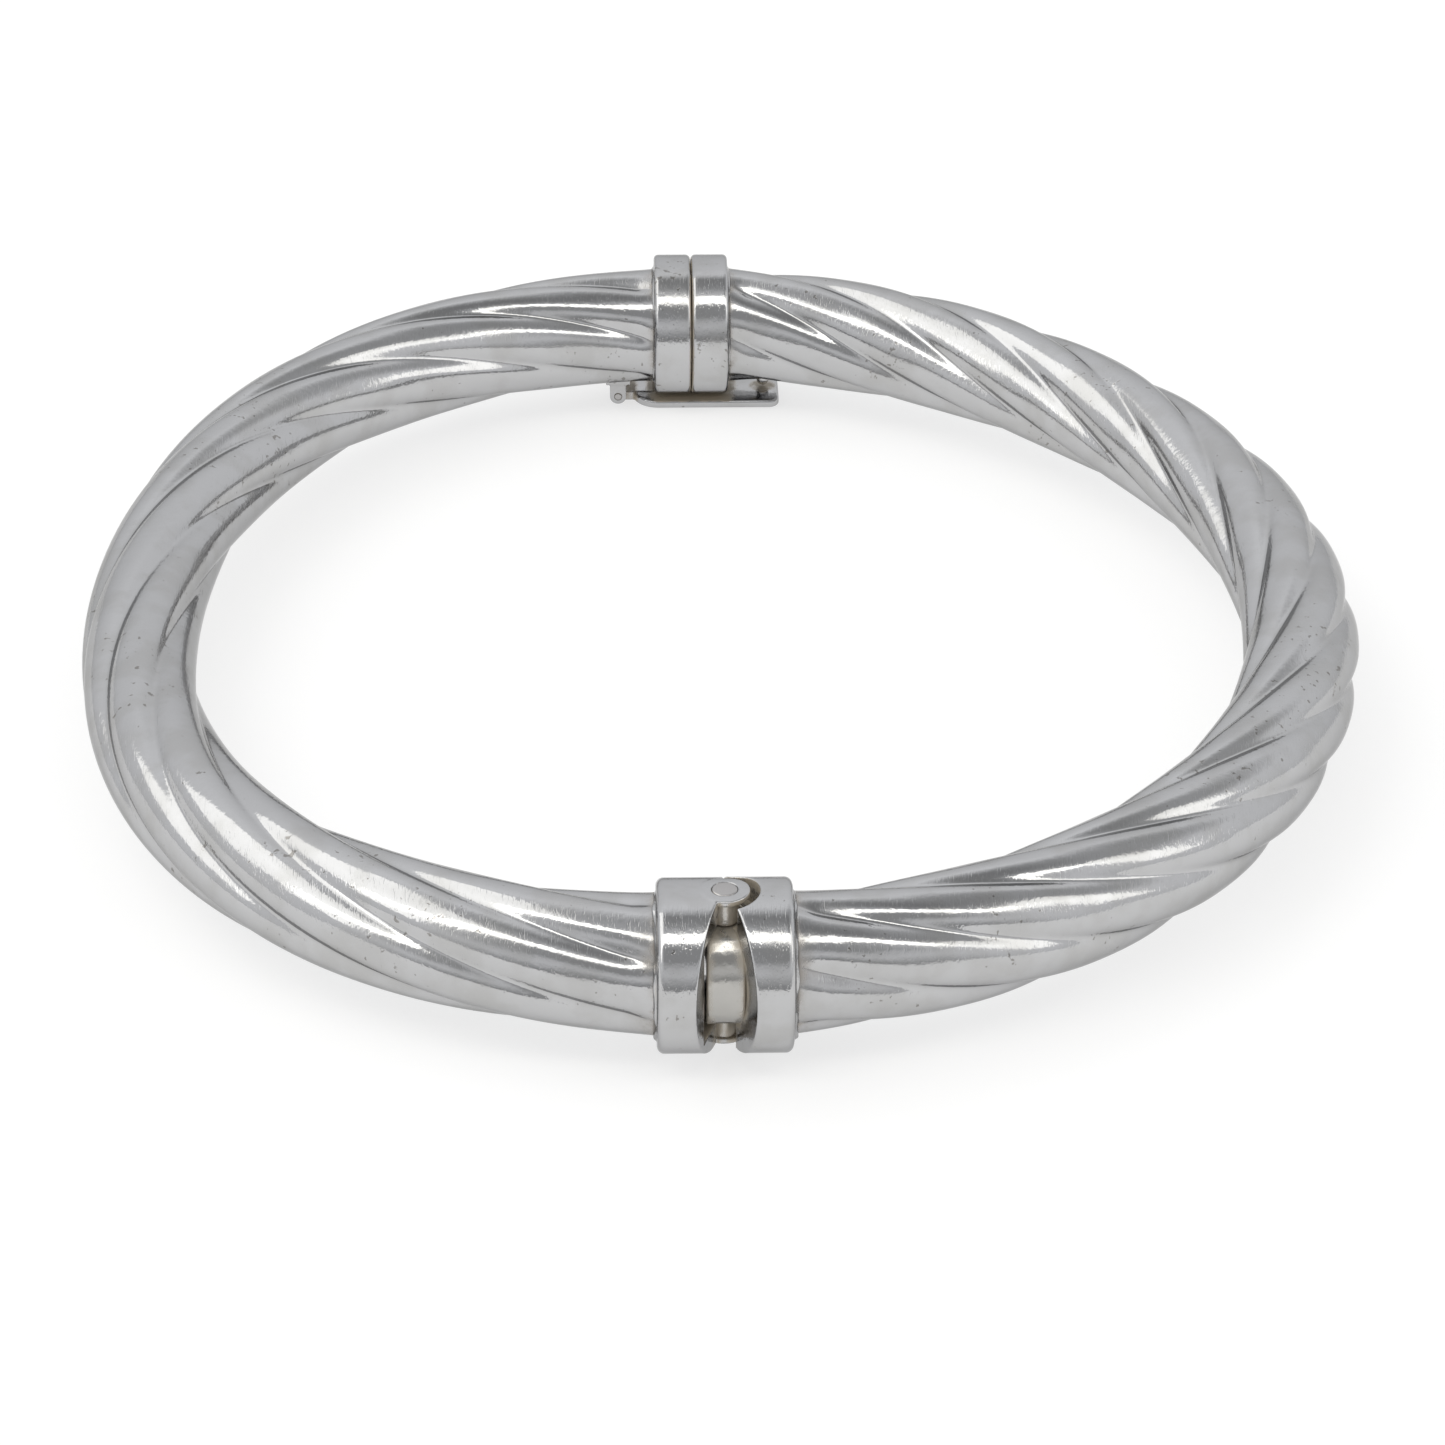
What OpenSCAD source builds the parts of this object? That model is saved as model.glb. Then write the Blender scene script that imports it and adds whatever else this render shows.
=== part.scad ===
// Hinged bangle bracelet of twisted, fluted tube, closed. Millimetres, +Z up.
// The origin is under the middle of the ring, on the plane the lowest face lies in.
// The hinge is at the front (-Y), the clasp at the back (+Y).

/* [Ring] */
// Half width of the left half's centreline
left_reach = 28.7; // [27:0.1:32]
// How far the left half's widest point leans towards the hinge
left_lean = 0.049; // [-0.1:0.001:0.1]
// How square the left half's shoulders are
left_square = 0.056; // [-0.1:0.001:0.1]
// Half width of the right half's centreline
right_reach = 30.4; // [27:0.1:32]
// How far the right half's widest point leans towards the hinge
right_lean = 0.021; // [-0.1:0.001:0.1]
// How square the right half's shoulders are
right_square = -0.014; // [-0.1:0.001:0.1]
// Half depth of the centreline, from the middle to the hinge or the clasp
half_depth = 33.4; // [30:0.1:36]

/* [Tube] */
// Outer radius of the tube at the hinge and the clasp
end_r = 3.16; // [2.9:0.01:3.3]
// Outer radius of the tube at the sides
side_r = 2.93; // [2.7:0.01:3.2]
// Wall of the hollow tube under its creases
wall = 0.35; // [0.3:0.05:0.5]
// Number of flutes around the tube
flutes = 6; // [5:1:8]
// Depth of the creases between the flutes
crease = 0.22; // [0.1:0.01:0.35]
// Twist of the left tube over its whole length, in degrees
left_twist = 526; // [360:1:720]
// Twist of the right tube over its whole length, in degrees
right_twist = 680; // [360:1:720]
// Angle of one crease of the left tube at the hinge
left_start = 18; // [0:1:60]
// Angle of one crease of the right tube at the hinge
right_start = 51; // [0:1:60]

/* [Collars] */
// Radius of the collars
collar_r = 4; // [3.8:0.05:4.3]
// Half the height between the flats on top of and under the collars
flat_h = 3.87; // [3.7:0.01:3.9]
// Rounding of the collars' rims
rim = 0.35; // [0.2:0.05:0.45]
// Length of one hinge collar, from the middle of the hinge
hinge_l = 3.1; // [2.9:0.1:3.4]
// Length of one clasp collar, from the middle of the clasp
clasp_l = 2.1; // [2:0.1:2.6]
// Half the hairline between two collars that meet
seam = 0.03; // [0.02:0.01:0.05]
// Length of the spigot that each collar has inside its tube
spigot_l = 1.3; // [1:0.1:1.4]

/* [Hinge] */
// Radius of the hinge pin
pin_r = 0.45; // [0.4:0.01:0.5]
// Running clearance between the pin and the middle knuckle
pin_play = 0.04; // [0.02:0.01:0.08]
// Radius of the pin's riveted heads
head_r = 0.59; // [0.55:0.01:0.65]
// How far the pin lies inwards from the middle of the tube
pin_in = 0.4; // [0.3:0.1:0.6]
// Half the angle of the open notch between the hinge collars
notch = 17; // [15:1:20]
// Radius of the lobes that hold the pin's two ends
lobe_r = 1.15; // [1:0.05:1.2]
// Thickness of the lobes
lobe_t = 0.3; // [0.25:0.05:0.4]
// Half height of the middle knuckle
knuckle_h = 2.4; // [2:0.1:2.6]
// Half width of the middle knuckle
knuckle_w = 0.88; // [0.8:0.01:0.9]
// How far the middle knuckle reaches out from the pin
knuckle_out = 3.05; // [2.8:0.05:3.1]

/* [Clasp] */
// Length of the tongue beyond the seam
tongue_l = 4.2; // [3.5:0.1:4.4]
// Half width of the tongue, up and down
tongue_w = 0.75; // [0.6:0.05:0.8]
// Thickness of the tongue's two leaves
leaf_t = 0.3; // [0.25:0.05:0.35]
// How far the release tab stands out of the collars
tab_out = 0.6; // [0.4:0.1:0.8]

/* [Safety catch] */
// Length of the catch beyond the seam, at its free end
catch_l = 5.1; // [4.8:0.1:5.4]
// Distance from the seam to the catch's pivot
pivot_x = 4.2; // [4:0.1:4.4]
// Half width of the catch
catch_w = 1.85; // [1.6:0.05:2]
// Thickness of the catch
catch_t = 0.55; // [0.5:0.05:0.6]

/* [Hidden] */
$fn = 48;

silver = "#c4c3c8";
shade = "#aeaab0";
inside = "#9a948c";

gap = 0.08;                              // between the catch and the collars' flats
catch_z = flat_h + gap;                  // top of the catch, below the tube's middle
ring_z = catch_z + catch_t;              // height of the tube's middle
seam_x = (left_reach - right_reach) / 2; // the hinge and the clasp, left of the middle
far = 10;                                // reaches past any collar
spigot_gap = 0.45;                       // solder gap between a spigot and the curved tube
rings = 40;                              // stations along each tube
steps = 4;                               // points from one crease to the next
around = flutes * steps;

lobe_z = flat_h - lobe_t;                // underside of the upper lobe
pocket_h = knuckle_h + 0.15;             // half height of the pocket for the middle knuckle
relief_h = knuckle_h + 0.05;             // where the outer knuckles begin
relief_r = 1.6;                          // room for the lobes in the right collar
stub_r = 0.62;                           // outer knuckles
stub_out = 1.05;                         // how far the outer knuckles reach out from the pin
head_t = 0.2;                            // thickness of the riveted heads

box_w = 1.5;                             // half width of the clasp box, in and out
box_h = 1.2;                             // half height of the clasp box
box_t = 0.25;                            // wall of the clasp box
box_l = 5;                               // length of the clasp box
base_y = -0.95;                          // inner side of the tongue's base leaf
tab_w = 0.5;                             // half width of the release tab
tab_gap = 0.15;                          // room around the release tab
tab_swing = 0.5;                         // more room on the side that the pressed tab leans to
leaf_room = 0.1;                         // room beside the spring leaf in the right collar
spring_rise = 0.95;                      // how far the spring leaf opens away from the base leaf

pivot_z = -(catch_z + catch_t / 2 - 0.2); // height of the catch's pivot
barrel_r = 0.47;                         // the catch's own knuckle
barrel_w = 0.75;                         // half width of that knuckle
ear_t = 0.45;                            // thickness of the lug's ears
safety_pin_r = 0.22;
lug_top = -(end_r + 0.06);               // the lug is soldered under the tube here

// Centreline of one half at angle p, 0 at the hinge and 180 at the clasp.
function reach(p, r, lean, square) = r * sin(p) * (1 + lean * cos(p) + square * (1 + cos(2 * p)));
function depth(p) = -half_depth * cos(p);
function tube_r(p) = end_r + (side_r - end_r) * pow(sin(p), 2);

// Direction that faces outwards from the centreline at angle p.
function facing(p, r, lean, square) =
    atan2(reach(p - 1, r, lean, square) - reach(p + 1, r, lean, square), depth(p + 1) - depth(p - 1));

// Share of the crease's depth at point k of the section: full at a crease, none on a crown.
function crease_at(k) = pow(abs((k % steps) / steps - 0.5) * 2, 2);

// One station of the tube: points around the centreline, in a plane that faces along it.
function station(p, x, f, radii, angles) = [
    for (k = [0 : around - 1])
        let (out = radii[k] * cos(angles[k]))
            [x + out * cos(f), depth(p) + out * sin(f), radii[k] * sin(angles[k])]
];

// Two triangles for each cell of a grid of n closed loops.
function skin(n, first, flip) = [
    for (i = [0 : n - 2], k = [0 : around - 1])
        let (a = first + i * around + k, b = first + i * around + (k + 1) % around,
             c = a + around, d = b + around)
            each flip ? [[a, d, c], [a, b, d]] : [[a, c, d], [a, d, b]]
];

// Ring-shaped end between an outer loop and an inner loop.
function rim_face(outer, inner, flip) = [
    for (k = [0 : around - 1])
        let (a = outer + k, b = outer + (k + 1) % around, c = inner + k, d = inner + (k + 1) % around)
            each flip ? [[a, c, d], [a, d, b]] : [[a, d, c], [a, b, d]]
];

// Hollow fluted tube of one half, drawn on the right-hand side.
module twisted_tube(r, lean, square, twist, start) {
    stretch = r * (1 + lean + 2 * square);
    stretch_back = r * (1 - lean + 2 * square);
    first = asin(hinge_l / stretch);
    last = 180 - asin(clasp_l / stretch_back);
    stations = [for (i = [0 : rings]) first + (last - first) * i / rings];
    middle = [for (i = [0 : rings])
        i == 0 ? hinge_l : i == rings ? clasp_l : reach(stations[i], r, lean, square)];
    face = [for (i = [0 : rings])
        i == 0 ? -90 : i == rings ? 90 : facing(stations[i], r, lean, square)];
    outer = [for (i = [0 : rings])
        station(stations[i], middle[i], face[i],
            [for (k = [0 : around - 1]) tube_r(stations[i]) - crease * crease_at(k)],
            [for (k = [0 : around - 1]) start + twist * stations[i] / 180 + 360 * k / around])];
    inner = [for (i = [0 : rings])
        station(stations[i], middle[i], face[i],
            [for (k = [0 : around - 1]) tube_r(stations[i]) - crease - wall],
            [for (k = [0 : around - 1]) start + twist * stations[i] / 180 + 360 * k / around])];
    n = rings + 1;
    polyhedron(
        points = [for (loop = outer) each loop, for (loop = inner) each loop],
        faces = [each skin(n, 0, false), each skin(n, n * around, true),
                 each rim_face(0, n * around, false),
                 each rim_face(rings * around, (n + rings) * around, true)]);
}

module at_hinge() translate([seam_x, -half_depth, ring_z]) children();
module at_clasp() translate([seam_x, half_depth, ring_z]) children();
module at_pin() at_hinge() translate([0, pin_in, 0]) children();

// Round bar between two heights.
module post(r, low, high) translate([0, 0, low]) cylinder(r = r, h = high - low);

// Block between two opposite corners.
module block(low, high) translate(low) cube(high - low);

// Round band with rounded rims, between two places along X.
module band(low, high) {
    l = high - low;
    translate([low, 0, 0]) rotate([0, 90, 0]) rotate_extrude() {
        square([collar_r - rim, l]);
        translate([0, rim]) square([collar_r, l - 2 * rim]);
        translate([collar_r - rim, rim]) circle(rim);
        translate([collar_r - rim, l - rim]) circle(rim);
    }
}

// Collar with flats on top and underneath, and a spigot for the tube on its outer end.
module collar(low, high, spigot) {
    intersection() {
        band(low, high);
        block([low, -far, -flat_h], [high, far, flat_h]);
    }
    translate([spigot < 0 ? low - spigot_l : high, 0, 0])
        rotate([0, 90, 0]) cylinder(r = end_r - crease - wall - spigot_gap, h = spigot_l);
}

// What is left of the notch on one side of the hinge, seen from above; side is -1 or 1.
module notch_side(side) {
    open = (far + pin_in) * tan(notch);
    linear_extrude(2 * far, center = true)
        polygon([[side * far, -far], [side * (seam + open), -far], [side * seam, pin_in],
                 [side * seam, far], [side * far, far]]);
}

// The pin's own shape: a shank with a riveted head at both ends.
module rivet(play) {
    post(pin_r + play, -flat_h, flat_h);
    for (side = [-1, 1])
        translate([0, 0, side * (flat_h - head_t / 2)])
            cylinder(r = head_r, h = head_t, center = true);
}

// Rounded lug around the pin that reaches outwards, between two heights.
module lug(r, out, low, high) {
    post(r, low, high);
    translate([0, r - out, 0]) post(r, low, high);
    block([-r, r - out, low], [r, 0, high]);
}

module stub(side) {
    if (side > 0) lug(stub_r, stub_out, relief_h, lobe_z);
    if (side < 0) lug(stub_r, stub_out, -lobe_z, -relief_h);
}

// Middle knuckle with the tail that is let into the right collar. Its nose is a barrel round the tube.
module knuckle_shape() {
    intersection() {
        union() {
            lug(knuckle_w, knuckle_out, -knuckle_h, knuckle_h);
            block([0, knuckle_w - knuckle_out, -knuckle_h], [hinge_l - 1.2, knuckle_w, knuckle_h]);
        }
        translate([0, -pin_in, 0]) rotate([0, 90, 0])
            cylinder(r = knuckle_out - pin_in, h = 2 * hinge_l, center = true);
    }
}

// Opening for the release tab, half in each clasp collar.
module tab_notch() {
    room = tab_w + tab_gap;
    block([-room, -0.4, -room], [room + tab_swing, far, room]);
}

module left_tube() {
    color(silver) translate([seam_x, 0, ring_z]) mirror([1, 0, 0])
        twisted_tube(left_reach, left_lean, left_square, left_twist, left_start);
}

module right_tube() {
    color(silver) translate([seam_x, 0, ring_z])
        twisted_tube(right_reach, right_lean, right_square, -right_twist, right_start);
}

module left_hinge_collar() {
    color(silver) at_hinge() difference() {
        intersection() {
            collar(-hinge_l, lobe_r, -1);
            union() {
                notch_side(-1);
                translate([0, pin_in, 0]) {
                    post(lobe_r, lobe_z, far);
                    post(lobe_r, -far, -lobe_z);
                }
            }
        }
        translate([0, pin_in, 0]) {
            post(knuckle_out + 0.15, -pocket_h, pocket_h);
            rivet(0);
            stub(1);
            stub(-1);
        }
    }
}

module right_hinge_collar() {
    color(silver) at_hinge() difference() {
        intersection() {
            collar(0, hinge_l, 1);
            notch_side(1);
        }
        translate([0, pin_in, 0]) {
            post(relief_r, relief_h, far);
            post(relief_r, -far, -relief_h);
            post(knuckle_w + 0.1, -far, far);
            knuckle_shape();
        }
    }
}

module upper_hinge_knuckle() {
    color(shade) at_pin() difference() {
        stub(1);
        post(pin_r, -far, far);
    }
}

module lower_hinge_knuckle() {
    color(shade) at_pin() difference() {
        stub(-1);
        post(pin_r, -far, far);
    }
}

module middle_hinge_knuckle() {
    color(shade) at_pin() difference() {
        knuckle_shape();
        post(pin_r + pin_play, -far, far);
    }
}

module hinge_pin() {
    color(inside) at_pin() rivet(0);
}

module left_clasp_collar() {
    color(silver) at_clasp() difference() {
        collar(-clasp_l, -seam, -1);
        block([-far, -box_w, -box_h], [far, box_w, box_h]);
        tab_notch();
    }
}

module clasp_box() {
    color(inside) at_clasp() difference() {
        block([-box_l, -box_w, -box_h], [-seam, box_w, box_h]);
        block([-box_l + box_t, -box_w + box_t, -box_h + box_t], [far, box_w - box_t, box_h - box_t]);
        tab_notch();
    }
}

module right_clasp_collar() {
    wide = tongue_w + leaf_room;
    color(silver) at_clasp() difference() {
        collar(seam, clasp_l, 1);
        tongue_leaf();
        tab_notch();
        block([-far, -0.4, -wide], [tab_w + tab_gap, base_y + 2 * leaf_t + spring_rise + leaf_room, wide]);
    }
}

// Base leaf of the tongue, from its fold to its seat in the right collar.
module tongue_leaf() {
    block([-tongue_l, base_y, -tongue_w], [clasp_l - 0.1, base_y + leaf_t, tongue_w]);
}

module tongue_base() {
    color(shade) at_clasp() tongue_leaf();
}

// Spring leaf: it opens outwards from the fold at the tongue's tip.
module tongue_spring() {
    low = base_y + leaf_t;
    color(shade) at_clasp() linear_extrude(2 * tongue_w, center = true)
        polygon([[-tongue_l, low + 0.02], [tab_w, low + spring_rise],
                 [tab_w, low + spring_rise + leaf_t], [-tab_w, low + spring_rise + leaf_t],
                 [-tongue_l, low + 0.02 + leaf_t]]);
}

module release_tab() {
    low = base_y + 2 * leaf_t + spring_rise;
    color(silver) at_clasp() {
        block([-tab_w, low, -tab_w], [tab_w, collar_r + tab_out - tab_w, tab_w]);
        translate([0, collar_r + tab_out - tab_w, 0]) cylinder(r = tab_w, h = 2 * tab_w, center = true);
    }
}

module at_pivot() at_clasp() translate([-pivot_x, 0, pivot_z]) children();

// Bar across the catch, through its pivot.
module cross_bar(r, half) rotate([90, 0, 0]) cylinder(r = r, h = 2 * half, center = true);

module safety_lug() {
    ear_in = barrel_w + 0.05;
    ear_out = ear_in + ear_t;
    color(silver) at_clasp() difference() {
        union() {
            block([-pivot_x - 0.7, -ear_out, lug_top - 0.2], [-pivot_x + 0.7, ear_out, lug_top]);
            for (side = [-1, 1]) {
                translate([-pivot_x, side * (ear_in + ear_out) / 2, pivot_z])
                    cross_bar(barrel_r, ear_t / 2);
                block([-pivot_x - barrel_r, side > 0 ? ear_in : -ear_out, pivot_z],
                      [-pivot_x + barrel_r, side > 0 ? ear_out : -ear_in, lug_top]);
            }
        }
        translate([-pivot_x, 0, pivot_z]) cross_bar(safety_pin_r, far);
    }
}

module safety_pin() {
    color(inside) at_pivot() cross_bar(safety_pin_r, barrel_w + 0.05 + ear_t);
}

module safety_catch() {
    tip = 0.6;
    root = -pivot_x + barrel_r + 0.4;
    low = -catch_z - catch_t;
    color(silver) at_clasp() difference() {
        union() {
            translate([-pivot_x, 0, pivot_z]) cross_bar(barrel_r, barrel_w);
            block([-pivot_x, -barrel_w, low], [root + 0.3, barrel_w, -catch_z]);
            block([root, -catch_w, low], [catch_l - tip, catch_w, -catch_z]);
            block([root, -catch_w + tip, low], [catch_l, catch_w - tip, -catch_z]);
            for (side = [-1, 1])
                translate([catch_l - tip, side * (catch_w - tip), low]) cylinder(r = tip, h = catch_t);
        }
        translate([-pivot_x, 0, pivot_z]) cross_bar(safety_pin_r + pin_play, far);
    }
}

module safety_stud() {
    color(silver) at_clasp() translate([pivot_x, 0, 0]) {
        post(0.35, lug_top - 0.3, lug_top);
        translate([0, 0, lug_top - 0.3]) sphere(0.35);
    }
}

left_tube();
left_hinge_collar();
upper_hinge_knuckle();
lower_hinge_knuckle();
hinge_pin();
left_clasp_collar();
clasp_box();
safety_lug();
safety_pin();
right_tube();
right_hinge_collar();
middle_hinge_knuckle();
right_clasp_collar();
tongue_base();
safety_stud();
tongue_spring();
release_tab();
safety_catch();
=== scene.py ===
"""Hinged bangle of twisted, fluted sterling tube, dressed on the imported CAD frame.

Every class works in millimetres and the meshes are written in metres. Places come from the boxes of
the CAD nodes. The tubes are grids of two parameters. All the other pieces are solids written as signed
distances, which give them the soft edges that polishing leaves.
"""
import logging
import math
from collections.abc import Callable, Sequence
from dataclasses import dataclass
from enum import Enum

import bpy
import numpy as np
from mathutils import Matrix, Vector


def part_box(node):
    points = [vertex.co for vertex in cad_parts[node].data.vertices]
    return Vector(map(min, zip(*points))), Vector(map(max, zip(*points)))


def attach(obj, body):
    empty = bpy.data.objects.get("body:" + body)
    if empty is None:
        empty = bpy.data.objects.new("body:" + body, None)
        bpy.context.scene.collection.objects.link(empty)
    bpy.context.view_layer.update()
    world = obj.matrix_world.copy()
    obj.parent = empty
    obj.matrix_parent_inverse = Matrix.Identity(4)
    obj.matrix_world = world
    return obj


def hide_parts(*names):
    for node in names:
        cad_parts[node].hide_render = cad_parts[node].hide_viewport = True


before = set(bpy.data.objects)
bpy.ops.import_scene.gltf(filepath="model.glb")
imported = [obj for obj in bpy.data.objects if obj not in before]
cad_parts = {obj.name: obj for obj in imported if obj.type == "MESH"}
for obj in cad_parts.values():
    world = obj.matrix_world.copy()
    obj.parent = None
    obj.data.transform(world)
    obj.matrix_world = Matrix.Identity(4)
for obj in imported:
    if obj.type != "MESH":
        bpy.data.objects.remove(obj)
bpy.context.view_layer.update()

LOG = logging.getLogger("bangle")
MM = 0.001
Array = np.ndarray
Field = Callable[[Array], Array]
Tree = bpy.types.NodeTree
Socket = bpy.types.NodeSocket


class Body(Enum):
    """The CAD bodies that the pieces ride on."""

    LEFT = "left_half"
    RIGHT = "right_half"
    LATCH = "latch"
    CATCH = "catch"


class Side(Enum):
    """The two halves, by the sign of X that they lie on."""

    LEFT = -1
    RIGHT = 1


# ---------------------------------------------------------------- distances and meshes


def round_and(a: Array, b: Array, radius: float) -> Array:
    """What two solids share, with the new edge rounded.

    Inside the corner of the two faces the distance is measured from a circle of the given radius
    that touches both faces, and elsewhere it is the larger of the two distances.

    Args:
        a: Signed distances to the first solid, negative inside.
        b: Signed distances to the second solid.
        radius: Radius of the rounded edge.

    Returns:
        Signed distances to the common part.
    """
    corner = np.hypot(np.maximum(a + radius, 0.0), np.maximum(b + radius, 0.0))
    return np.minimum(-radius, np.maximum(a, b)) + corner


def round_or(a: Array, b: Array, radius: float) -> Array:
    """Two solids together, with a fillet of the given radius in the corner where they meet."""
    return -round_and(-a, -b, radius)


def slab(v: Array, low: float, high: float) -> Array:
    """Signed distance to the space between two parallel planes, low and high along one axis."""
    return np.maximum(low - v, v - high)


def box(p: Array, low: Sequence[float], high: Sequence[float], radius: float) -> Array:
    """Signed distance to a block between two corners, with all its edges rounded.

    The distance is that of a block smaller by the radius on every side, less the radius.

    Args:
        p: Points, as an array whose last axis is X, Y, Z.
        low: Lowest corner.
        high: Highest corner.
        radius: Radius of the edges.

    Returns:
        Signed distances.
    """
    middle = (np.asarray(low) + np.asarray(high)) / 2
    half = (np.asarray(high) - np.asarray(low)) / 2 - radius
    q = np.abs(p - middle) - half
    outside = np.linalg.norm(np.maximum(q, 0.0), axis=-1)
    return outside + np.minimum(q.max(axis=-1), 0.0) - radius


def add_object(name: str, data: bpy.types.ID) -> bpy.types.Object:
    """Adds an object with the given mesh, light or camera to the scene."""
    obj = bpy.data.objects.new(name, data)
    bpy.context.scene.collection.objects.link(obj)
    return obj


@dataclass
class Skin:
    """A mesh in the making: points in millimetres, quads, and for each point how hidden it lies."""

    points: Array
    quads: Array
    hollow: Array

    def moved(self, x: float, y: float, z: float) -> "Skin":
        """The same skin, shifted."""
        return Skin(self.points + np.array([x, y, z]), self.quads, self.hollow)

    def object(self, name: str, material: bpy.types.Material) -> bpy.types.Object:
        """Makes a smooth Blender object at the origin, with its place in its mesh.

        Args:
            name: Name of the object and its mesh.
            material: The finish.

        Returns:
            The object, linked to the scene.
        """
        mesh = bpy.data.meshes.new(name)
        mesh.vertices.add(len(self.points))
        mesh.vertices.foreach_set("co", (self.points * MM).astype(np.float32).ravel())
        mesh.loops.add(self.quads.size)
        mesh.loops.foreach_set("vertex_index", self.quads.astype(np.int32).ravel())
        mesh.polygons.add(len(self.quads))
        mesh.polygons.foreach_set("loop_start", np.arange(0, self.quads.size, 4, dtype=np.int32))
        mesh.polygons.foreach_set("use_smooth", np.ones(len(self.quads), bool))
        mesh.update(calc_edges=True)
        layer = mesh.attributes.new("hollow", "FLOAT", "POINT")
        layer.data.foreach_set("value", self.hollow.astype(np.float32))
        mesh.materials.append(material)
        return add_object(name, mesh)


def slope(distance: Field, points: Array, reach: float) -> Array:
    """Gradient of a distance at some points, from differences over the given reach on each axis."""
    parts = []
    for axis in range(3):
        shift = np.zeros(3)
        shift[axis] = reach
        parts.append((distance(points + shift) - distance(points - shift)) / (2 * reach))
    return np.stack(parts, axis=-1)


def cast(distance: Field, low: Sequence[float], high: Sequence[float], cell: float, near: Field,
         gap: float) -> Skin:
    """Surface of a solid that is given by its signed distance.

    The distance is worked out on a lattice. Each cell that the surface passes through gets one
    point, the mean of the places where the surface crosses the cell's edges. Each lattice edge that
    is crossed joins the points of the four cells round it as a quad. The points are then pulled down
    the slope onto the surface itself. The slope there also tells which way the surface faces.

    Args:
        distance: Signed distance in millimetres, negative inside.
        low: Lowest corner of the lattice, outside the solid.
        high: Highest corner of the lattice.
        cell: Size of a cell.
        near: Signed distance to the solid and its neighbours.
        gap: Width of a gap that a polishing cloth doesn't reach into.

    Returns:
        The closed surface. It is hollow by up to 1 where something stands within the gap.
    """
    pulls, least_steepness = 3, 0.05
    axes = [np.arange(a - cell, b + 2 * cell, cell) for a, b in zip(low, high)]
    lattice = np.stack(np.meshgrid(*axes, indexing="ij"), axis=-1)
    value = distance(lattice)
    inside = value < 0
    corners = np.array([[i, j, k] for i in (0, 1) for j in (0, 1) for k in (0, 1)])
    size = np.array(inside.shape) - 1
    count = sum(inside[i:i + size[0], j:j + size[1], k:k + size[2]].astype(np.int8)
                for i, j, k in corners)
    mixed = (count > 0) & (count < 8)
    number = np.full(mixed.shape, -1)
    number[mixed] = np.arange(mixed.sum())
    cells = np.argwhere(mixed)
    total = np.zeros((len(cells), 3))
    weight = np.zeros((len(cells), 1))
    for axis in range(3):
        step = np.eye(3, dtype=int)[axis]
        for corner in corners[corners[:, axis] == 0]:
            first = value[tuple((cells + corner).T)]
            last = value[tuple((cells + corner + step).T)]
            crossed = (first < 0) != (last < 0)
            share = np.where(crossed, first / np.where(crossed, first - last, 1.0), 0.0)
            place = cells + corner + share[:, None] * step
            total += np.where(crossed[:, None], place, 0.0)
            weight += crossed[:, None]
    points = np.array([a[0] for a in axes]) + cell * total / weight
    quads = []
    for axis in range(3):
        one, two = (axis + 1) % 3, (axis + 2) % 3
        ahead = np.take(inside, range(1, inside.shape[axis]), axis)
        behind = np.take(inside, range(inside.shape[axis] - 1), axis)
        edges = np.argwhere(ahead != behind)
        outward = behind[tuple(edges.T)]
        ring = []
        for a, b in ((-1, -1), (0, -1), (0, 0), (-1, 0)):
            shift = np.zeros(3, int)
            shift[one], shift[two] = a, b
            ring.append(number[tuple((edges + shift).T)])
        ring = np.stack(ring, axis=1)
        quads.append(np.where(outward[:, None], ring, ring[:, ::-1]))
    reach = cell / 5
    for _ in range(pulls):
        grade = slope(distance, points, reach)
        steep = np.maximum((grade ** 2).sum(-1, keepdims=True), least_steepness)
        points = points - np.clip(distance(points)[:, None] * grade / steep, -cell, cell)
    grade = slope(distance, points, reach)
    facing = grade / np.linalg.norm(grade, axis=-1, keepdims=True)
    hollow = np.clip(1 - near(points + gap * facing) / gap, 0, 1)
    return Skin(points, np.concatenate(quads), hollow)


def loft(rings: Array) -> Array:
    """Quads between neighbouring rings of points, where the last ring joins the first again.

    Args:
        rings: Numbers of the points, one row for each ring, which is closed on itself.

    Returns:
        Quads that face outwards for rings that run left-handed about the way they follow.
    """
    end = np.roll(rings, -1, axis=0)
    cells = [rings, end, np.roll(end, -1, axis=1), np.roll(rings, -1, axis=1)]
    return np.stack(cells, axis=-1).reshape(-1, 4)


# ---------------------------------------------------------------- finishes


def empty_tree(owner: bpy.types.ID) -> Tree:
    """Gives a material or a world a node tree with nothing in it."""
    owner.use_nodes = True
    owner.node_tree.nodes.clear()
    return owner.node_tree


def linear(code: str) -> tuple[float, float, float, float]:
    """Turns an sRGB hex code such as "#c4c3c8" into the linear colour that Blender expects."""
    parts = [int(code[i:i + 2], 16) / 255 for i in (1, 3, 5)]
    r, g, b = (c / 12.92 if c <= 0.04045 else ((c + 0.055) / 1.055) ** 2.4 for c in parts)
    return (r, g, b, 1.0)


def per_mm(size: float) -> float:
    """Scale of a pattern on Object coordinates, in metres, whose features measure this many mm."""
    return 1 / (size * MM)


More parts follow.
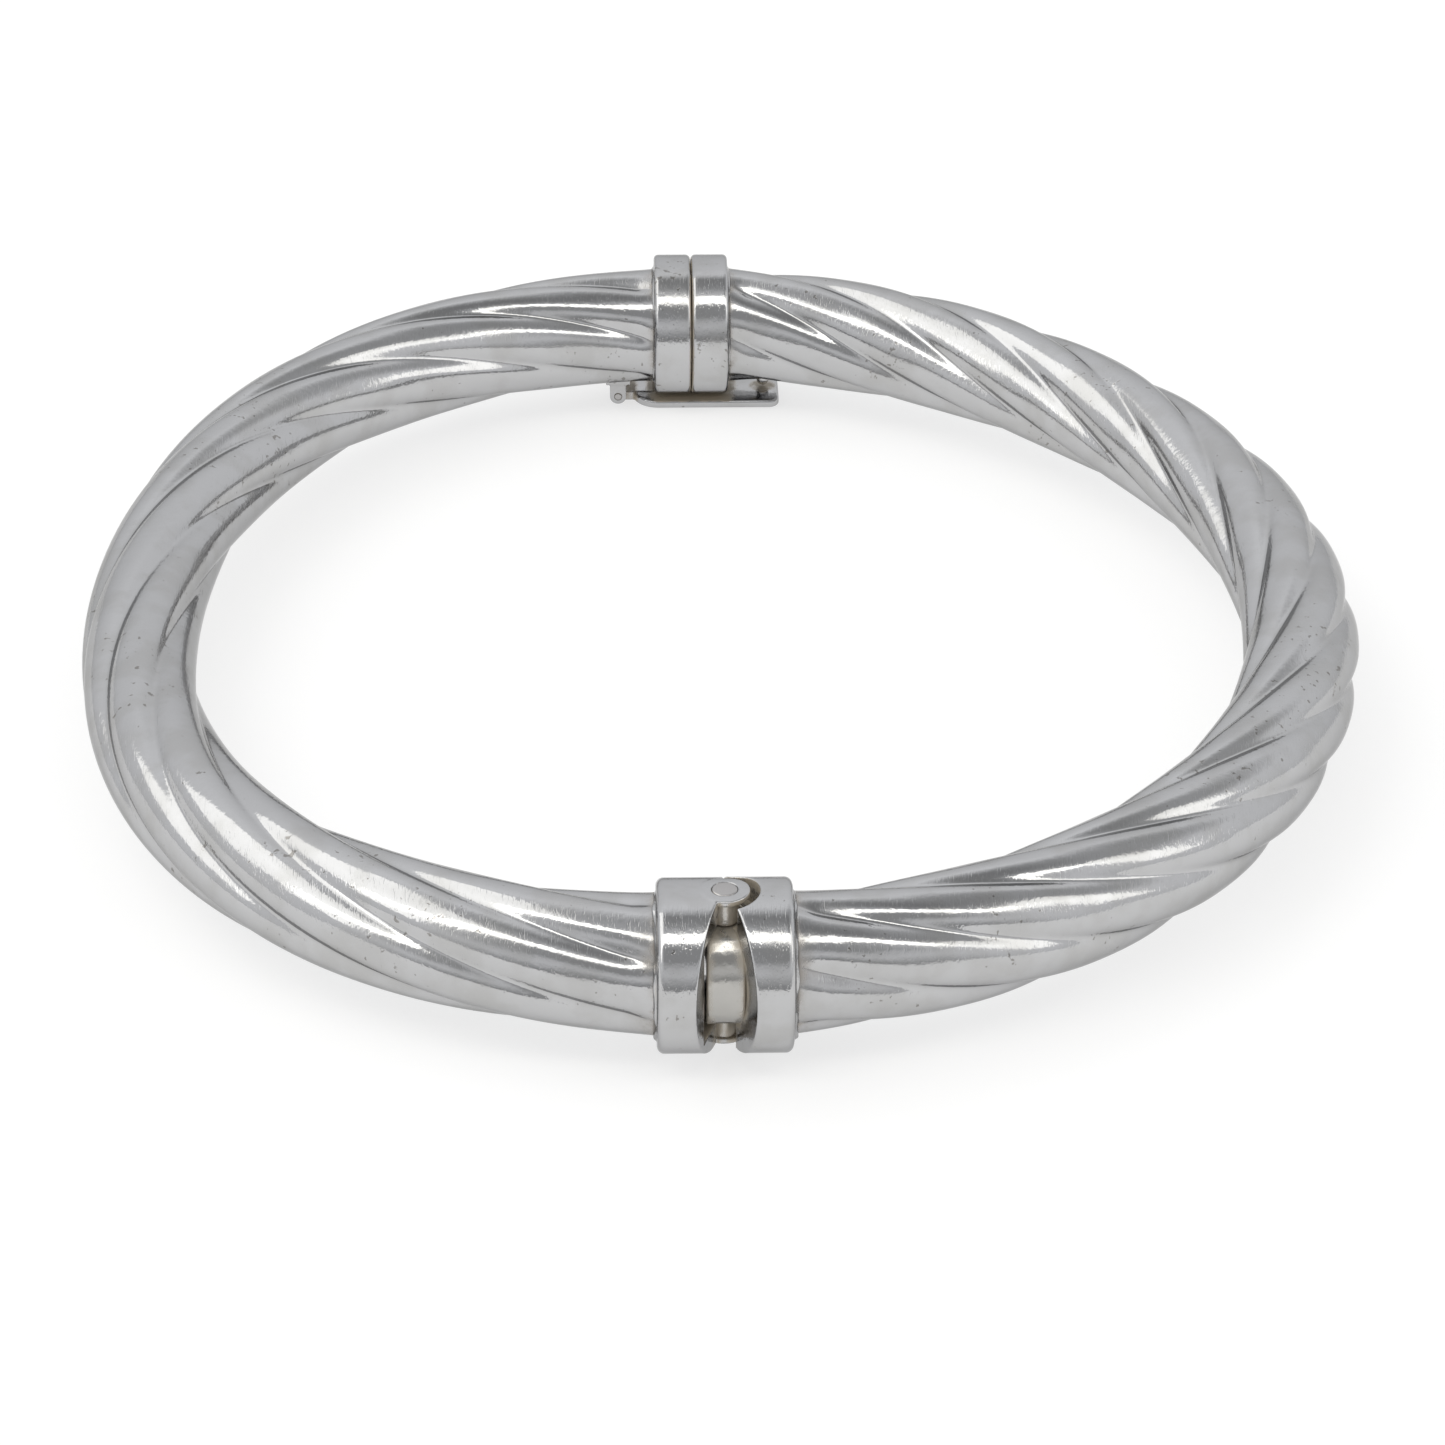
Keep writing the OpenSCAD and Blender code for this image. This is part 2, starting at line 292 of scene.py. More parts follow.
def add_node(tree: Tree, kind: str, inputs: dict | None = None,
             **settings: object) -> bpy.types.Node:
    """Adds one node, sets its properties, and fills its inputs with values or links.

    Args:
        tree: The node tree.
        kind: The node's type, such as "ShaderNodeMath".
        inputs: A value or an output socket for each input, by name or number.
        **settings: The node's own properties.

    Returns:
        The node.
    """
    node = tree.nodes.new(kind)
    for name, value in settings.items():
        setattr(node, name, value)
    for name, value in (inputs or {}).items():
        if isinstance(value, Socket):
            tree.links.new(value, node.inputs[name])
        else:
            node.inputs[name].default_value = value
    return node


def reckon(tree: Tree, operation: str, *values: object) -> Socket:
    """Adds one Math node, with values or links in order, and gives its result."""
    return add_node(tree, "ShaderNodeMath", dict(enumerate(values)), operation=operation).outputs[0]


def span(tree: Tree, value: Socket, given: tuple[float, float],
         wanted: tuple[float, float]) -> Socket:
    """Maps a value from one range to another, softly at both ends."""
    inputs = {"Value": value, "From Min": given[0], "From Max": given[1],
              "To Min": wanted[0], "To Max": wanted[1]}
    node = add_node(tree, "ShaderNodeMapRange", inputs, interpolation_type="SMOOTHSTEP")
    return node.outputs["Result"]


def blend(tree: Tree, share: Socket, under: object, over: object) -> Socket:
    """Lays one colour over another, by a share from 0 to 1."""
    return add_node(tree, "ShaderNodeMix", {0: share, 6: under, 7: over}, data_type="RGBA").outputs[2]


@dataclass(frozen=True)
class Finish:
    """A material and the record's slot for it."""

    material: bpy.types.Material
    slot: str


@dataclass(frozen=True)
class SterlingSilver:
    """Sterling silver (925), hand polished and worn.

    Polished sterling mirrors its surroundings a shade darker than they are. The hammer and the
    mandrel leave it slightly wavy, wear draws fine scratches over it, and tarnish turns the hollows
    that a cloth doesn't reach olive brown.
    """

    name: str
    slot: str
    clean: str = "#bbbbbc"
    dull: str = "#a7a6a3"
    tarnish: str = "#b0a695"
    pit: str = "#6b665f"
    edge_tint: str = "#cfcfcf"
    roughness: float = 0.08
    smear: float = 0.08
    wave_height: float = 0.01
    wave_size: float = 2.2
    dent_height: float = 0.009
    dent_size: float = 0.32
    scratch_depth: float = 0.0022
    pit_depth: float = 0.006
    film_amount: float = 0.35
    tarnish_amount: float = 0.8
    speck_amount: float = 0.6
    blotch_size: float = 2.2
    mottle_size: float = 0.6
    stain_roughness: float = 0.35
    stain_metallic: float = 0.15

    def finish(self) -> Finish:
        """Builds the material: base colour, roughness and the layers of bump.

        Returns:
            The node material with its slot.
        """
        material = bpy.data.materials.new(self.name)
        tree = empty_tree(material)
        place = add_node(tree, "ShaderNodeTexCoord").outputs["Object"]
        hollow = add_node(tree, "ShaderNodeAttribute", attribute_name="hollow").outputs["Fac"]
        blotch = self._noise(tree, place, self.blotch_size, 5.0)
        mottled = self._noise(tree, place, self.mottle_size, 3.0)
        grime = span(tree, mottled, (0.3, 0.7), (0.45, 1.0))
        worn_in = reckon(tree, "MULTIPLY", hollow, grime)
        stained = span(tree, worn_in, (0.05, 0.65), (0.0, self.tarnish_amount))
        pits = self._specks(tree, place)
        film = span(tree, blotch, (0.4, 0.65), (0.0, self.film_amount))
        colour = linear(self.clean)
        for share, cover in ((film, self.dull), (stained, self.tarnish), (pits, self.pit)):
            colour = blend(tree, share, colour, linear(cover))
        haze = span(tree, blotch, (0.35, 0.7), (self.roughness, self.roughness + self.smear))
        rough = reckon(tree, "MULTIPLY_ADD", stained, self.stain_roughness, haze)
        metallic = span(tree, stained, (0.0, 1.0), (1.0, self.stain_metallic))
        shader = add_node(tree, "ShaderNodeBsdfPrincipled", {
            "Base Color": colour, "Metallic": metallic, "Roughness": rough,
            "Specular Tint": linear(self.edge_tint), "Normal": self._relief(tree, place, pits)})
        add_node(tree, "ShaderNodeOutputMaterial", {"Surface": shader.outputs[0]})
        return Finish(material, self.slot)

    def _noise(self, tree: Tree, place: Socket, size: float, detail: float) -> Socket:
        """Fractal noise whose largest features measure size mm."""
        inputs = {"Vector": place, "Scale": per_mm(size), "Detail": detail}
        return add_node(tree, "ShaderNodeTexNoise", inputs).outputs["Fac"]

    def _specks(self, tree: Tree, place: Socket) -> Socket:
        """Sparse spots of tarnish a few tenths of a mm wide, in loose groups."""
        spot = self._noise(tree, place, 0.38, 3.0)
        group = self._noise(tree, place, 4.5, 1.0)
        both = reckon(tree, "MULTIPLY_ADD", group, 0.45, spot)
        return span(tree, both, (0.93, 0.99), (0.0, self.speck_amount))

    def _bump(self, tree: Tree, height: Socket, depth: float,
              under: dict[str, Socket]) -> dict[str, Socket]:
        """Raises a height of so many mm on what lies under it, and gives the input for the next."""
        inputs = {"Height": height, "Strength": 1.0, "Distance": depth * MM, **under}
        return {"Normal": add_node(tree, "ShaderNodeBump", inputs).outputs[0]}

    def _relief(self, tree: Tree, place: Socket, pits: Socket) -> Socket:
        """Hand-made waviness, dents, pits and two sets of crossed scratches, as one bumped normal."""
        waves = self._noise(tree, place, self.wave_size, 1.5)
        dents = self._noise(tree, place, self.dent_size, 2.0)
        relief = self._bump(tree, waves, self.wave_height, {})
        relief = self._bump(tree, dents, self.dent_height, relief)
        relief = self._bump(tree, pits, -self.pit_depth, relief)
        # A scratch is a few hundredths of a mm wide. It is drawn 0.07 mm wide, so that it shows.
        for turn, width in ((0.6, 0.07), (2.1, 0.09)):
            stretched = add_node(tree, "ShaderNodeMapping", {
                "Vector": place, "Rotation": (turn, turn * 1.7, turn * 0.6),
                "Scale": (1.0, 0.05, 0.35)})
            lines = self._noise(tree, stretched.outputs[0], width, 1.0)
            scratch = span(tree, lines, (0.6, 0.72), (1.0, 0.0))
            relief = self._bump(tree, scratch, self.scratch_depth, relief)
        return relief["Normal"]


# ---------------------------------------------------------------- the bangle


def dress(skin: Skin, name: str, material: bpy.types.Material, body: Body, slot: str,
          *nodes: str) -> bpy.types.Object:
    """Makes a piece, puts it on its body and lets it stand for its CAD nodes.

    Args:
        skin: The surface.
        name: Name of the piece.
        material: The finish.
        body: The body that it rides on.
        slot: The record's material slot. It is not used.
        *nodes: The CAD nodes that it replaces.

    Returns:
        The piece.
    """
    piece = skin.object(name, material)
    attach(piece, body.value)
    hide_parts(*nodes)
    LOG.info("%s: %d points, %d quads", name, len(skin.points), len(skin.quads))
    return piece


@dataclass
class Casting:
    """A piece to cast: its CAD node, body and finish, its solid, two corners round it and its cell."""

    node: str
    body: Body
    finish: Finish
    distance: Field
    low: Sequence[float]
    high: Sequence[float]
    cell: float


def pour(castings: Sequence[Casting], seat: Array, near: Field, gap: float) -> None:
    """Casts pieces and puts them in their places.

    Args:
        castings: The pieces.
        seat: Origin of their coordinates, in mm.
        near: Signed distance to everything that tarnish may gather between.
        gap: Width of a gap that a polishing cloth doesn't reach into.
    """
    for piece in castings:
        skin = cast(piece.distance, piece.low, piece.high, piece.cell, near, gap).moved(*seat)
        dress(skin, piece.node + "_made", piece.finish.material, piece.body, piece.finish.slot,
              piece.node)


@dataclass
class Seats:
    """The places that the frame gives: the hinge pin, the clasp's seam and the catch's pin, in mm."""

    pin: Array
    clasp: Array
    pivot: Array

    @classmethod
    def from_frame(cls) -> "Seats":
        """Reads the boxes of the pin, the clasp collar and the catch's pin."""
        def middle(node: str) -> Array:
            """Middle of a node's box, in mm."""
            low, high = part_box(node)
            return (np.array(low) + np.array(high)) / 2 / MM

        pin = middle("hinge_pin")
        clasp = middle("left_clasp_collar")
        return cls(pin, np.array([pin[0], clasp[1], pin[2]]), middle("safety_pin"))

    @property
    def ring(self) -> Array:
        """Middle of the ring: level with the pin and halfway between the hinge and the clasp."""
        return np.array([self.pin[0], 0.0, self.pin[2]])


@dataclass
class FlutedTube:
    """One half of the ring: a hollow tube of six flutes, twisted and then bent on a mandrel."""

    side: Side
    reach: float
    lean: float
    square: float
    twist: float
    start: float
    half_depth: float = 33.4
    end_radius: float = 3.16
    side_radius: float = 2.93
    wall: float = 0.35
    flutes: int = 6
    crease: float = 0.38
    crease_round: float = 0.13
    crease_power: float = 2.8
    hinge_end: float = 3.1
    clasp_end: float = 2.1
    fade: float = 1.3
    kept: float = 0.5
    flare: float = 0.1
    squaring: float = 3.0
    crease_film: float = 0.12
    crease_film_width: float = 0.13
    collar_film: float = 0.7
    inner_film: float = 0.6
    samples: int = 4001
    rings: int = 470
    per_flute: int = 26

    def centre(self, p: Array) -> tuple[Array, Array]:
        """Centreline at angle p, 0 at the hinge and pi at the clasp, on the right-hand side.

        The reach is r sin p (1 + lean cos p + square (1 + cos 2p)) and the depth is -d cos p.
        """
        swell = 1 + self.lean * np.cos(p) + self.square * (1 + np.cos(2 * p))
        return self.reach * np.sin(p) * swell, -self.half_depth * np.cos(p)

    def stations(self, count: int) -> tuple[Array, ...]:
        """Evenly spaced places along the tube.

        Args:
            count: Number of places.

        Returns:
            For each place: its angle p, X, Y, the angle that faces outwards, and the distances
            from the hinge end and from the clasp end, all but the angles in mm.
        """
        p = np.linspace(0, math.pi, self.samples)
        x, y = self.centre(p)
        rise = 1200
        first = np.interp(self.hinge_end, x[:rise], p[:rise])
        last = np.interp(self.clasp_end, x[::-1][:rise], p[::-1][:rise])
        p = np.linspace(first, last, self.samples)
        x, y = self.centre(p)
        length = np.concatenate([[0.0], np.hypot(np.diff(x), np.diff(y)).cumsum()])
        facing = np.arctan2(-np.gradient(x), np.gradient(y))
        along = np.linspace(0, length[-1], count)
        p, x, y, facing = (np.interp(along, length, v) for v in (p, x, y, facing))
        before, after = along, along[-1] - along
        turn_in = np.clip(1 - before / self.squaring, 0, 1) ** 2
        turn_out = np.clip(1 - after / self.squaring, 0, 1) ** 2
        facing = facing + (-math.pi / 2 - facing[0]) * turn_in + (math.pi / 2 - facing[-1]) * turn_out
        return p, x, y, facing, before, after

    def shell(self, count: int, inner: bool) -> tuple[Array, Array]:
        """Points of the outer or the inner skin, as rings about the centreline.

        A point of the outer skin lies the tube's radius less the crease's depth from the
        centreline. The depth goes with a power of the nearness to a crease, is softened at its
        bottom, and fades towards both ends. The section turns evenly as it goes along.

        Args:
            count: Number of rings.
            inner: Whether it is the plain inner skin.

        Returns:
            The points and how hidden they lie, both by ring and by place round the ring.
        """
        p, x, y, facing, before, after = self.stations(count)
        round_count = self.flutes * self.per_flute
        k = np.arange(round_count)
        off = 1 - 2 * np.abs(k / self.per_flute % 1 - 0.5)
        soft = np.sqrt(off ** 2 + self.crease_round ** 2) - self.crease_round * (1 - off)
        near = np.clip(1 - soft, 0, 1) ** self.crease_power
        ends = np.clip(np.minimum(before, after) / self.fade, 0, 1)
        fade = self.kept + (1 - self.kept) * ends * ends * (3 - 2 * ends)
        radius = self.end_radius + (self.side_radius - self.end_radius) * np.sin(p) ** 2
        radius = radius + self.flare * np.exp(-np.minimum(before, after) / self.fade)
        radius = radius[:, None] - self.crease * fade[:, None] * near
        if inner:
            plain = self.end_radius - self.crease - self.wall
            slim = (self.side_radius - self.end_radius) * np.sin(p) ** 2
            radius = np.broadcast_to((plain + slim)[:, None], radius.shape)
        angle = np.radians(self.start + self.twist * p[:, None] / math.pi + 360 * k / round_count)
        out = radius * np.cos(angle)
        points = np.stack([x[:, None] + out * np.cos(facing)[:, None],
                           y[:, None] + out * np.sin(facing)[:, None],
                           radius * np.sin(angle)], axis=-1)
        crease = np.exp(-(off / self.crease_film_width) ** 2) * (fade / fade.max())[:, None]
        turn = np.radians(360 * k / round_count)
        collar = np.exp(-np.minimum(before, after)[:, None] / (0.42 + 0.14 * np.sin(5 * turn + 1)))
        return points, np.clip(self.crease_film * crease + self.collar_film * collar, 0, 1)

    def build(self, seats: Seats, finish: Finish) -> None:
        """Makes the tube as one closed skin: outside, the far rim, inside and the near rim."""
        outer, hollow = self.shell(self.rings, False)
        inner = self.shell(self.rings // 8, True)[0][::-1]
        points = np.concatenate([outer, inner]).reshape(-1, 3)
        hollow = np.append(hollow, np.full(inner.shape[:2], self.inner_film))
        quads = loft(np.arange(len(points)).reshape(-1, outer.shape[1]))
        points[:, 0] *= self.side.value
        if self.side is Side.LEFT:
            quads = quads[:, ::-1]
        name = self.side.name.lower() + "_tube"
        body = Body.LEFT if self.side is Side.LEFT else Body.RIGHT
        skin = Skin(points, quads, hollow).moved(*seats.ring)
        dress(skin, name + "_fluted", finish.material, body, finish.slot, name)


@dataclass
class Hinge:
    """The hinge: two banded collars with an open notch, three knuckles and a riveted pin.

    Its own coordinates have their origin on the pin's axis, X to the right and Y inwards.
    """

    seats: Seats
    length: float = 3.1
    radius: float = 4.0
    flat: float = 3.87
    pin_in: float = 0.4
    seam: float = 0.03
    notch: float = math.radians(17)
    rim: float = 0.36
    lobe: float = 1.15
    lobe_low: float = 3.57
    pocket: float = 3.2
    pocket_high: float = 2.55
    relief: float = 1.6
    knuckle_half: float = 0.88
    knuckle_out: float = 3.05
    knuckle_high: float = 2.4
    tail: float = 1.9
    stub: float = 0.62
    stub_out: float = 1.05
    pin_radius: float = 0.45
    head: float = 0.59
    head_high: float = 0.2
    neck: float = 3.32
    neck_length: float = 0.12
    gap: float = 0.7
    fine: float = 0.06

    def band(self, p: Array, side: Side) -> Array:
        """Signed distance to one collar before it is cut: round, flat on top, with a solder neck.

        Args:
            p: Points about the pin's axis.
            side: Which collar.

        Returns:
            Signed distances.
        """
        x = p[..., 0] * side.value
        y = p[..., 1] + self.pin_in
        z = p[..., 2]
        from_axis = np.hypot(y, z)
        tube = round_and(from_axis - self.radius, np.abs(z) - self.flat, 0.25)
        body = round_and(tube, slab(x, -self.lobe - 0.3, self.length), self.rim)
        turn = np.arctan2(z, y)
        uneven = 0.05 * np.sin(5 * turn + side.value) + 0.035 * np.sin(11 * turn + 2)
        ring = round_and(from_axis - self.neck - uneven,
                         slab(x, self.length - 0.5, self.length + self.neck_length + uneven), 0.1)
        return round_or(body, ring, 0.15)

    def notched(self, p: Array, side: Side) -> Array:
        """The collar less the wedge of the notch and less the hairline seam behind the pin."""
        x = p[..., 0] * side.value
        cut = (x - self.seam + p[..., 1] * math.tan(self.notch)) * math.cos(self.notch)
        return round_and(self.band(p, side), -np.minimum(x - self.seam, cut), 0.09)

    def lug(self, p: Array, half: float, out: float, low: float, high: float,
            edge: float) -> Array:
        """A knuckle: an upright bar about the pin that reaches outwards, with a round nose."""
        y = np.clip(p[..., 1], half - out, 0)
        from_line = np.hypot(p[..., 0], p[..., 1] - y) - half
        return round_and(from_line, slab(p[..., 2], low, high), edge)

    def middle_knuckle(self, p: Array) -> Array:
        """The middle knuckle with its tail, less the bore for the pin."""
        barrel = np.hypot(p[..., 1] + self.pin_in, p[..., 2]) - self.knuckle_out + self.pin_in
        side = np.abs(p[..., 0]) - self.knuckle_half
        back = np.hypot(p[..., 0], np.maximum(p[..., 1], 0)) - self.knuckle_half
        lug = round_and(round_and(np.maximum(side, back), barrel, 0.11),
                        np.abs(p[..., 2]) - self.knuckle_high, 0.16)
        tail = box(p, (-0.1, self.knuckle_half - self.knuckle_out + 0.3, -self.knuckle_high + 0.06),
                   (self.tail, self.knuckle_half - 0.1, self.knuckle_high - 0.06), 0.12)
        tail = round_and(tail, barrel + 0.06, 0.1)
        bore = np.hypot(p[..., 0], p[..., 1]) - self.pin_radius - 0.04
        return round_and(round_or(lug, tail, 0.1), -bore, 0.05)

    def end_knuckle(self, p: Array, side: int) -> Array:
        """An outer knuckle, over (1) or under (-1) the middle one."""
        low, high = sorted((side * (self.pocket_high - 0.08), side * (self.lobe_low + 0.05)))
        lug = self.lug(p, self.stub, self.stub_out, low, high, 0.1)
        bore = np.hypot(p[..., 0], p[..., 1]) - self.pin_radius
        return round_and(lug, -bore, 0.04)

    def left_collar(self, p: Array) -> Array:
        """The left collar with the two lobes that hold the pin's ends."""
        from_pin = np.hypot(p[..., 0], p[..., 1])
        z = np.abs(p[..., 2])
        y = p[..., 1] + self.pin_in
        outside = round_and(np.hypot(y, z) - self.radius, z - self.flat, 0.2)
        lobe = round_and(round_and(from_pin - self.lobe, outside, 0.07), self.lobe_low - z, 0.05)
        body = round_or(self.notched(p, Side.LEFT), lobe, 0.04)
        pocket = np.maximum(from_pin - self.pocket, z - self.pocket_high)
        body = round_and(body, -pocket, 0.08)
        hole = np.maximum(from_pin - self.head - 0.01, self.flat - self.head_high - z)
        return round_and(np.maximum(body, self.pin_radius - from_pin), -hole, 0.035)

    def right_collar(self, p: Array) -> Array:
        """The right collar with the round recesses for the lobes and the slot for the knuckle."""
        from_pin = np.hypot(p[..., 0], p[..., 1])
        recess = np.maximum(from_pin - self.relief, self.knuckle_high + 0.05 - np.abs(p[..., 2]))
        body = round_and(self.notched(p, Side.RIGHT), -recess, 0.08)
        return round_and(body, self.knuckle_half + 0.1 - from_pin, 0.08)

    def everything(self, p: Array) -> Array:
        """All the pieces of the hinge at once, which tells how deep a place lies."""
        parts = [self.left_collar(p), self.right_collar(p), self.middle_knuckle(p),
                 self.end_knuckle(p, 1), self.end_knuckle(p, -1)]
        return np.minimum.reduce(parts)

    def rivet(self, p: Array) -> Array:
        """The pin: a shank with a flush head at each end, hammered slightly domed."""
        from_pin = np.hypot(p[..., 0], p[..., 1])
        face = self.flat - 0.004 - 0.03 * (from_pin / self.head) ** 2
        z = np.abs(p[..., 2])
        head = round_and(from_pin - self.head, slab(z, self.flat - self.head_high, face), 0.04)
        return np.minimum(head, np.maximum(from_pin - self.pin_radius, z - self.flat + 0.1))

    def build(self, collar: Finish, knuckle: Finish, pin: Finish) -> None:
        """Makes the two collars, the three knuckles and the pin.

        Args:
            collar: Finish of the collars.
            knuckle: Finish of the knuckles.
            pin: Finish of the pin.
        """
        out, high = self.length + self.neck_length + 0.1, self.radius + 0.05
        front, back = -high - self.pin_in, self.radius - self.pin_in
        pour((
            Casting("left_hinge_collar", Body.LEFT, collar, self.left_collar,
                    (-out, front, -high), (self.lobe + 0.1, back, high), self.fine),
            Casting("right_hinge_collar", Body.RIGHT, collar, self.right_collar,
                    (0.0, front, -high), (out, back, high), self.fine),
            Casting("middle_hinge_knuckle", Body.RIGHT, knuckle, self.middle_knuckle,
                    (-1.0, -self.knuckle_out, -2.5), (self.tail, 1.0, 2.5), self.fine),
            Casting("upper_hinge_knuckle", Body.LEFT, knuckle, lambda p: self.end_knuckle(p, 1),
                    (-0.7, -1.2, 2.4), (0.7, 0.7, 3.7), self.fine),
            Casting("lower_hinge_knuckle", Body.LEFT, knuckle, lambda p: self.end_knuckle(p, -1),
                    (-0.7, -1.2, -3.7), (0.7, 0.7, -2.4), self.fine),
            Casting("hinge_pin", Body.LEFT, pin, self.rivet,
                    (-0.65, -0.65, -self.flat), (0.65, 0.65, self.flat), self.fine)),
            self.seats.pin, self.everything, self.gap)


@dataclass
class Clasp:
    """The clasp: two collars that meet, a sleeve, a folded tongue and its release tab.

    Its own coordinates have their origin in the middle of the seam, X to the right, Y outwards.
    """

    seats: Seats
    length: float = 2.1
    radius: float = 4.0
    flat: float = 3.87
    seam: float = 0.03
    rim: float = 0.25
    box_out: float = 1.5
    box_high: float = 1.2
    box_wall: float = 0.25
    box_length: float = 5.0
    tongue: float = 4.2
    tongue_half: float = 0.75
    leaf: float = 0.3
    base: float = -0.95
    rise: float = 0.95
    tab: float = 0.5
    tab_out: float = 0.6
    tab_room: float = 0.15
    tab_swing: float = 0.5
    neck: float = 3.32
    neck_length: float = 0.12
    gap: float = 0.5
    fine: float = 0.065
    sleeve_cell: float = 0.05
    leaf_cell: float = 0.04

    def notch(self, p: Array) -> Array:
        """Signed distance to the opening for the release tab, half in each collar."""
        room = self.tab + self.tab_room
        return box(p, (-room, -0.4, -room), (room + self.tab_swing, 9.0, room), 0.1)

    def band(self, p: Array, side: Side) -> Array:
        """One collar before it is hollowed: round, with flats, soft rims and a solder neck."""
        x = p[..., 0] * side.value
        y, z = p[..., 1], p[..., 2]
        from_axis = np.hypot(y, z)
        tube = round_and(from_axis - self.radius, np.abs(z) - self.flat, 0.25)
        body = round_and(tube, slab(x, self.seam, self.length), self.rim)
        uneven = 0.035 * np.sin(4 * np.arctan2(z, y) + side.value)
        ring = round_and(from_axis - self.neck - uneven,
                         slab(x, self.length - 0.5, self.length + self.neck_length + uneven), 0.12)
        return round_and(round_or(body, ring, 0.12), -self.notch(p), 0.06)

    def left_collar(self, p: Array) -> Array:
        """The left collar with the mouth for the tongue."""
        mouth = box(p, (-9, -self.box_out, -self.box_high), (9, self.box_out, self.box_high), 0.1)
        return round_and(self.band(p, Side.LEFT), -mouth, 0.06)

    def right_collar(self, p: Array) -> Array:
        """The right collar with the seats of the tongue's two leaves."""
        seat = box(p, (-1, self.base, -self.tongue_half),
                   (self.length - 0.1, self.base + self.leaf, self.tongue_half), 0.03)
        wide = self.tongue_half + 0.1
        room = box(p, (-1, -0.4, -wide), (self.tab + self.tab_room, 1.0, wide), 0.05)
        return round_and(round_and(self.band(p, Side.RIGHT), -seat, 0.03), -room, 0.05)

    def collars(self, p: Array) -> Array:
        """Both collars at once, which tells how deep a place under the clasp lies."""
        return np.minimum(self.left_collar(p), self.right_collar(p))

    def sleeve(self, p: Array) -> Array:
        """The sleeve that the tongue goes into, closed at its far end."""
        w = self.box_wall
        outside = box(p, (-self.box_length, -self.box_out, -self.box_high),
                      (-self.seam, self.box_out, self.box_high), 0.08)
        inside = box(p, (-self.box_length + w, -self.box_out + w, -self.box_high + w),
                     (9, self.box_out - w, self.box_high - w), 0.06)
        return round_and(round_and(outside, -inside, 0.05), -self.notch(p), 0.05)

    def base_leaf(self, p: Array) -> Array:
        """The tongue's lower leaf."""
        return box(p, (-self.tongue, self.base, -self.tongue_half),
                   (self.length - 0.12, self.base + self.leaf, self.tongue_half), 0.06)

    def spring_leaf(self, p: Array) -> Array:
        """The tongue's upper leaf, which opens away from the fold at the tongue's tip."""
        low = self.base + self.leaf + 0.02
        run = self.tongue - self.tab
        lift = (self.rise - 0.02) * np.clip((p[..., 0] + self.tongue) / run, 0, 1)
        straight = np.stack([p[..., 0], p[..., 1] - lift, p[..., 2]], axis=-1)
        return box(straight, (-self.tongue, low, -self.tongue_half),
                   (self.tab, low + self.leaf, self.tongue_half), 0.06)

    def thumb_tab(self, p: Array) -> Array:
        """The release tab: a small block with a round top, standing out of the seam."""
        low = self.base + 2 * self.leaf + self.rise
        top = self.radius + self.tab_out - self.tab
        stem = box(p, (-self.tab, low, -self.tab), (self.tab, top, self.tab), 0.06)
        roll = round_and(np.hypot(p[..., 0], p[..., 1] - top) - self.tab,
                         np.abs(p[..., 2]) - self.tab, 0.1)
        return np.minimum(stem, roll)

    def build(self, collar: Finish, spring: Finish, catch: Field) -> None:
        """Makes the collars, the sleeve, the two leaves and the tab.

        Args:
            collar: Finish of the collars and the tab.
            spring: Finish of the sleeve and the leaves.
            catch: Signed distance to the safety catch, whose shade the collars stand in.
        """
        def near(p: Array) -> Array:
            """The collars and the catch at once."""
            return np.minimum(self.collars(p), catch(p))

        out, high = self.length + self.neck_length + 0.1, self.radius + 0.05
        tip = -self.tongue - 0.1
        pour((
            Casting("left_clasp_collar", Body.LEFT, collar, self.left_collar,
                    (-out, -high, -high), (0, high, high), self.fine),
            Casting("right_clasp_collar", Body.RIGHT, collar, self.right_collar,
                    (0, -high, -high), (out, high, high), self.fine),
            Casting("clasp_box", Body.LEFT, spring, self.sleeve,
                    (-5.1, -1.6, -1.3), (0, 1.6, 1.3), self.sleeve_cell),
            Casting("tongue_base", Body.RIGHT, spring, self.base_leaf,
                    (tip, -1.0, -0.8), (2.1, -0.6, 0.8), self.leaf_cell),
            Casting("tongue_spring", Body.LATCH, spring, self.spring_leaf,
                    (tip, -0.7, -0.8), (0.6, 0.7, 0.8), self.leaf_cell),
            Casting("release_tab", Body.LATCH, collar, self.thumb_tab,
                    (-0.6, 0.5, -0.6), (0.6, 4.7, 0.6), self.leaf_cell)),
            self.seats.clasp, near, self.gap)


